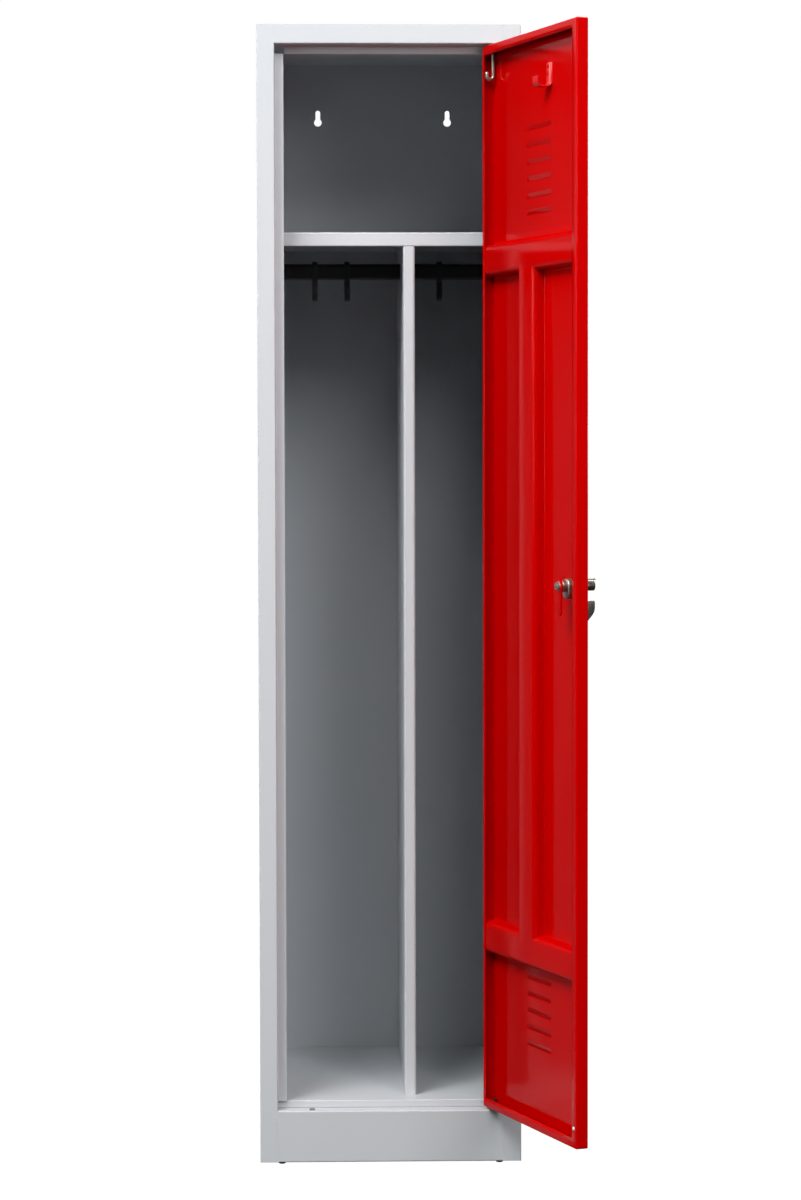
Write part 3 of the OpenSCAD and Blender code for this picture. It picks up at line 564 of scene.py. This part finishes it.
upright_x, cross_z = 11.5, (361, 1431)
upright_crown, cross_crown = 64, 50
bends_x, bends_z = hat(0, upright_crown)[1], hat(0, cross_crown)[1]
flat_x = [-175.1, -174.8, -140, -100, -60, 90, 130, 174.8, 175.1]
xs = np.unique(np.round([*flat_x, *(upright_x + bends_x), *(upright_x - bends_x)], 4))
flat_z = np.linspace(420, 1370, 12)
zs = np.unique(np.round([*flat_z, *np.add.outer(cross_z, [bends_z, -bends_z]).ravel()], 4))
between = (zs[:, None] > cross_z[0]) & (zs[:, None] < cross_z[1])
upright = np.where(between, hat(xs - upright_x, upright_crown)[0][None], np.nan)
cross = np.fmax(*(hat(zs - c, cross_crown)[0] for c in cross_z))
deep = np.fmax(upright, cross[:, None])
points = np.stack(np.broadcast_arrays(xs[None], deep, zs[:, None]), -1).reshape(-1, 3)
cells = quads(len(zs), len(xs), wrap_columns=False)[:, ::-1]
cells = cells[~np.isnan(deep.ravel()[cells]).any(1)]
used = np.unique(cells)
shells = [(points[used], [np.searchsorted(used, cells)])]
replaced = ("upper_cross_stiffener", "lower_cross_stiffener", "upright_stiffener")
sheet(make("stiffener_frame", shells, "red_paint", "door", *replaced, door=True, outward=False))

# %% [markdown]
# ## Ground welds
# The plinth and the top rail meet the posts in a short upright seam at each front corner. It is welded,
# ground almost flush and painted over, so it shows as a low flat strip with no gap. Four thin plates are
# enough for that.

# %% Ground welds
seam_x, half_strip, ground_y, root_y = 179.5, 2.3, -250.03, -249.2
welds = []
for x in (-seam_x, seam_x):
    for low, high in ((4, 83.2), (1771.8, 1798)):
        left, right = x - half_strip, x + half_strip
        strip = [(left, low), (right, low), (right, high), (left, high)]
        welds.append(plate(strip, ground_y, root_y, 0.01))
make("ground_corner_welds", welds, "grey_paint", "carcass")

# %% [markdown]
# ## Fittings on the door
# The latch's lever is die-cast zinc with a chrome plate, so its edges are round. Its hub carries a grip,
# and a padlock's shackle goes between the two through the base plate's fixed ear. Inside the door a
# zinc-plated housing, a red steel cam, a washer and a nut sit on the same spindle.

# %% Lever
# A turned profile of the latch is (radius, y). The grip's outline is (y, z), with z from the spindle.
latch_x, latch_z = -127.5, 928.0
at_latch = (latch_x, 0, latch_z)
hub = [(0, -281.5), (7.0, -281.5), (7.35, -281.35), (7.5, -281), (7.5, -256.2), (7.1, -255.6),
       (7.1, -254.6), (7.5, -254), (7.5, -253.3), (5, -253.3), (5, -227), (0, -227)]
hub = lathe(hub, at_latch, along="y")
grip = [(-262.3, 0), (-253.3, 0), (-253.3, -64), (-260.3, -64), (-281.5, -39), (-281.5, -22), (-262.3, -22)]
grip = softened(grip, [0.5, 0.5, 2, 2.5, 7, 3, 4], 6, closed=True)
grip = moved(plate(grip, -7, 7, 2.0, flat="yz"), at_latch)
square = softened([(-3.5, -3.5), (3.5, -3.5), (3.5, 3.5), (-3.5, 3.5)], 0.5, 2, closed=True)
square = moved(plate(square, -227, -224.1, 0.1), at_latch)
# The thread's radius goes between 2.98 and 2.58, with a root 0.2 mm after each crest.
turns = np.arange(25)
crests = zip(2.78 + 0.2 * np.cos(np.pi * turns), -224.1 + 0.2 * turns)
thread = lathe([(0, -224.1), *crests, (2.2, -218.6), (0, -218.6)], at_latch, along="y", steps=24)
make("latch_lever_cast", [hub, grip, square, thread], "cast_chrome", "latch", "latch_lever", door=True)

# %% Base plate with its ear
# The ear's outline is (x, y), with x from the spindle. A padlock's shackle goes through its hole.
ear_x, ear_y, ear_r, hole_r = -14.75, -269.0, 9, 4.5
turn = np.linspace(math.pi, 2 * math.pi, 25)
ear = np.concatenate([np.stack([ear_x + ear_r * np.cos(turn), ear_y + ear_r * np.sin(turn)], -1),
                      [(ear_x + ear_r, -251.2), (ear_x - ear_r, -251.2)]])
ear = softened(ear, 1.0, 3, closed=True)
ear = moved(plate(ear, 9.5, 12.0, 0.6, hole=(ear_x, ear_y, hole_r), flat="xy"), at_latch)
base = moved(plate(stadium(17, -57, 7), -253, -250, 1.4), at_latch)
make("latch_base_plate", [base, ear], "zinc_plate", "door", "latch_base", door=True)

# %% Rivets and housing
head = [(0, -252.6), (2, -252.6), (2, -249), (3.6, -249), (3.5, -248.3), (2.6, -247.7), (0, -247.5)]
heads = [lathe(head, (latch_x, 0, latch_z + z), along="y", steps=24) for z in (19, -66)]
make("latch_rivet_heads", heads, "zinc_plate", "door", "latch_rivets", door=True)
case = moved(plate(stadium(12, -8, -1), -249, -235, 2.2), at_latch)
boss = [(5.05, -235.6), (9, -235.6), (9, -228.4), (7.6, -227), (5.05, -227), (5.05, -235.6)]
boss = lathe(softened(boss, [0, 0.2, 0.8, 0.8, 0.3, 0], 3), at_latch, along="y", steps=64)
make("latch_housing_cast", [case, boss], "zinc_plate", "door", "latch_housing", door=True)

# %% Cam, washer and nut
# The cam is two arcs: radius 11 round the spindle, and radius 8 round a point 37 mm below it.
dip = math.asin(-7.55 / 11)
upper, lower = np.linspace(dip, math.pi - dip, 25), np.linspace(math.pi, 2 * math.pi, 21)
cam = np.concatenate([np.stack([11 * np.cos(upper), 11 * np.sin(upper)], -1),
                      np.stack([8 * np.cos(lower), -37 + 8 * np.sin(lower)], -1)])
cam = moved(plate(cam, -226.6, -224.1, 0.5), at_latch)
make("latch_cam_plate", [cam], "red_paint", "latch", "latch_cam", door=True)
washer = softened([(3.02, -224.1), (7, -224.1), (7, -223.1), (3.02, -223.1), (3.02, -224.1)], 0.15, 2)
washer = lathe(washer, at_latch, along="y")
make("latch_washer_ring", [washer], "zinc_plate", "latch", "latch_washer", door=True)
# The nut's radius at angle a is the hexagon's, half_flat / cos(a from the flat's middle), cut by a cone.
half_flat, bore_r, around = 4.98, 3.0, 72
a = np.linspace(0, 2 * math.pi, around, endpoint=False)
hexagon = half_flat / np.cos((a + math.pi / 6) % (math.pi / 3) - math.pi / 6)
cone = np.array([5.1, 5.75, 5.75, 5.1])[:, None]
bore = np.full((1, around), bore_r)
nut_r = np.concatenate([bore, np.minimum(hexagon, cone), bore])
nut_y = np.broadcast_to(np.array([-223.1, -223.1, -222.7, -220, -219.6, -219.6])[:, None], nut_r.shape)
nut = np.stack([nut_r * np.cos(a), nut_y, nut_r * np.sin(a)], -1).reshape(-1, 3)
nut = moved((nut, [quads(len(nut_r), around, wrap_rows=True)]), at_latch)
make("latch_nut_hexagon", [nut], "zinc_plate", "latch", "latch_nut", door=True, sharp=25)

# %% [markdown]
# ## Coat hook
# The hook is a strip of half-round steel, riveted to the skin and bent out and up from it. Its crowned
# face takes a long highlight, which sets it off from the flat skin behind it, and so does the enamel's
# shine. Its red is lighter than the door's red, which is painted highlight. A section carried along the
# bent line gives both the crown and the bends.

# %% Coat hook
# The path is (y, z). Two points close to each end let the section shrink there, which rounds the end.
coat_x, coat_top, coat_low = -39.5, 1717.0, 1680.0
back_y, front_y, foot_z, tip_z = -247.9, -226.1, coat_low + 1.1, coat_low + 16
path = softened([(back_y, coat_top), (back_y, foot_z), (front_y, foot_z), (front_y, tip_z)], [0, 9, 9, 0], 9)
path[0, 1] -= 0.01
path = np.insert(path, 1, path[0] - [[0, 0.4], [0, 1.2]], axis=0)
path = np.insert(path, -1, path[-1] - [[0, 1.2], [0, 0.4]], axis=0)
size = np.ones(len(path))
size[[0, 1, -1, -2]] = [0.7, 0.93, 0.7, 0.93]
strip_w, strip_back, swell = 9.5, -1.1, 2.9
a = np.linspace(0, math.pi, 13)
section = np.stack([strip_w * np.cos(a), strip_back + swell * np.sin(a) ** 0.8], -1)
section = np.concatenate([section, [(-strip_w, strip_back), (strip_w, strip_back)]])
spine = np.stack([np.full(len(path), coat_x), path[:, 0], path[:, 1]], -1)
shell = carried(spine, section, (1, 0, 0), size)
coat_hook = make("coat_hook_strip", [shell], "red_paint", "door", "coat_hook", door=True)
# The hook's red is lighter than the door's red: painted highlight.
coat_hook.data.materials[0] = hook_red_painted_highlight
head = [(0, -250.8), (2.6, -250.7), (3.6, -250), (2, -250), (2, -246.5), (3.6, -246.5), (3.4, -245.7),
        (2.4, -245.1), (0, -244.9)]
heads = [lathe(head, (coat_x, 0, coat_top - z), along="y", steps=24) for z in (5, 16)]
make("coat_hook_rivet_heads", heads, "red_paint", "door", "coat_hook_rivets", door=True)

# %% [markdown]
# ## Hinges
# The door hangs on two vertical pins. The lower one is a stud whose collar carries the door. The upper
# one is a wire that pulls down out of the top rail by its curled grip, and then the door lifts off. The
# bushes round them are moulded nylon. The wire is carried along its line, and the rest is turned.

# %% Hinge pins
# The wire goes down from the top rail, round half a circle and up again, as (y from the pin, z).
pin_x, pin_y = pin
curl_r, curl_z, wire_r = 5.5, 1720, 3
curl = np.linspace(math.pi, 2 * math.pi, 17)
bent = np.concatenate([[(0, z) for z in (1778.2, 1777.6, 1774, 1740, 1722)],
                       np.stack([curl_r + curl_r * np.cos(curl), curl_z + curl_r * np.sin(curl)], -1),
                       [(2 * curl_r, z) for z in (1722, 1724, 1725.5, 1726.4, 1727)]])
size = np.ones(len(bent))
size[[0, -3, -2, -1]] = [0.8, 0.87, 0.5, 0.03]
a = np.linspace(0, 2 * math.pi, 24, endpoint=False)
wire = np.stack([wire_r * np.cos(a), wire_r * np.sin(a)], -1)
spine = np.stack([np.full(len(bent), pin_x), pin_y + bent[:, 0], bent[:, 1]], -1)
shell = carried(spine, wire, (1, 0, 0), size)
make("upper_hinge_pin_wire", [shell], "zinc_plate", "hinge_pin", "upper_hinge_pin", door=True)
# The profiles of the stud, the bushes, the sill pad and the glides are (radius, z).
stud = [(0, 83), (5, 83), (5, 84), (3, 84), (3, 85), (6.4, 85), (6.4, 87.5), (3, 87.5), (3, 99.5), (0, 99.5)]
stud = softened(stud, [0, 0.3, 0.3, 0.1, 0.1, 0.3, 0.3, 0.1, 0.8, 0], 3)
make("lower_hinge_stud", [lathe(stud, (pin_x, pin_y, 0))], "zinc_plate", "carcass", "lower_hinge_pin")


# %% Bushes
def bush(name, body, node, flange, sleeve, door):
    """Flange ring r 6.4 between two heights, sleeve r 5 up or down to `sleeve`, bore r 3.05."""
    far, near = (flange[0], flange[1]) if sleeve > flange[1] else (flange[1], flange[0])
    ring = [(3.05, far), (6.4, far), (6.4, near), (5, near), (5, sleeve), (3.05, sleeve), (3.05, far)]
    make(name, [lathe(softened(ring, 0.25, 2), (pin_x, pin_y, 0))], "black_plastic", body, node, door=door)


bush("top_rail_bush", "carcass", "upper_hinge_bush", (1769, 1770), 1779, False)
bush("door_top_bush", "door", "door_upper_bush", (1767, 1768), 1755, True)
bush("door_foot_bush", "door", "door_lower_bush", (87.5, 89), 101, True)

# %% [markdown]
# ## Buffer, sill pad and feet
# A small nylon button on the free edge of the door softens its closing, and a rubber one sits on the sill
# below it. Four glides on stems carry the locker. All of them are turned profiles with soft edges.

# %% Buffer, sill pad and feet
dome = [(0, -233), (1.5, -233), (1.5, -230), (3, -230), (2.9, -229.3), (2.2, -228.6), (1.2, -228.42),
        (0, -228.4)]
dome = lathe(dome, (-169.5, 0, 119), along="y", steps=32)
make("buffer_button", [dome], "white_plastic", "door", "door_buffer", door=True)
pad = [(0, 83), (1.5, 83), (1.5, 85), (4.5, 85), (4.5, 86.8), (4, 87.5), (2.6, 87.92), (0, 88)]
make("sill_pad_button", [lathe(pad, (-125, -241, 0), steps=32)], "rubber", "carcass", "sill_pad")
glide = [(0, 0), (4.2, 0), (5.6, 0.8), (6, 3), (2.5, 3), (2.5, 9), (0, 9)]
glide = softened(glide, [0, 0.6, 0.6, 0.3, 0.2, 0.8, 0], 4)
for end, y in (("front", -241.5), ("back", 239)):
    for hand, x in (("left", -173), ("right", 173)):
        foot = lathe(glide, (x, y, 0), steps=32)
        make(f"glide_{end}_{hand}", [foot], "black_plastic", "carcass", f"foot_{end}_{hand}")

# %% [markdown]
# ## Hooks on the rail
# The three hooks are moulded in black plastic: a ring that slides on the oval rail, and a J that opens to
# the front. The ring is a plate with an oval hole, and the J is a rounded section carried down and round.

# %% Sliding hooks
def hook_ring(width):
    """Rings of two long rounds, as (y, z): the outer one drawn in at its edges by the radius 1, then the
    bore. Their half circles are centred 6.5 mm above and below the middle, the outer ones 2 mm back."""
    a = np.linspace(0, math.pi / 2, 5)
    outer, bore = stadium(10.5, -6.5, 6.5, 14) + [2, 0], stadium(6.9, -6.5, 6.5, 14)
    inset = np.concatenate([1 - np.sin(a), (1 - np.sin(a))[::-1], [0, 0]])
    side = np.concatenate([1 - np.cos(a), width - (1 - np.cos(a))[::-1], [width, 0]]) - width / 2
    rings = outer[None] - inset[:, None, None] * outward_normals(outer)[None]
    rings[-2:] = bore
    p = np.stack([np.broadcast_to(side[:, None], rings.shape[:2]), rings[..., 0], rings[..., 1]], -1)
    return p.reshape(-1, 3), [quads(len(side), len(outer), wrap_rows=True)]


# The J goes down, round a half circle of radius 8 and up to its tip, as (y, z) from the rail's middle.
a = np.linspace(0, -math.pi, 19)
j_line = np.concatenate([[(1, z) for z in (-14, -20, -30, -37)],
                         np.stack([-7 + 8 * np.cos(a), -38 + 8 * np.sin(a)], -1),
                         [(-15, z) for z in (-36, -32, -29.5, -27.6, -26.2, -25.6)]])
size = np.ones(len(j_line))
size[-4:] = [1.04, 0.97, 0.7, 0.1]
blunt = softened([(-4.5, -2.5), (4.5, -2.5), (4.5, 2.5), (-4.5, 2.5)], 1.6, 4, closed=True)
j_shell = carried(np.stack([0 * j_line[:, 0], j_line[:, 0], j_line[:, 1]], -1), blunt, (1, 0, 0), size)
rail_z = 1429
for k, x in enumerate((-117, -64, 88), 1):
    shells = [moved(hook_ring(9), (x, 0, rail_z)), moved(j_shell, (x, 0, rail_z))]
    make(f"moulded_hook_{k}", shells, "black_plastic", f"hook_{k}", f"sliding_hook_{k}")
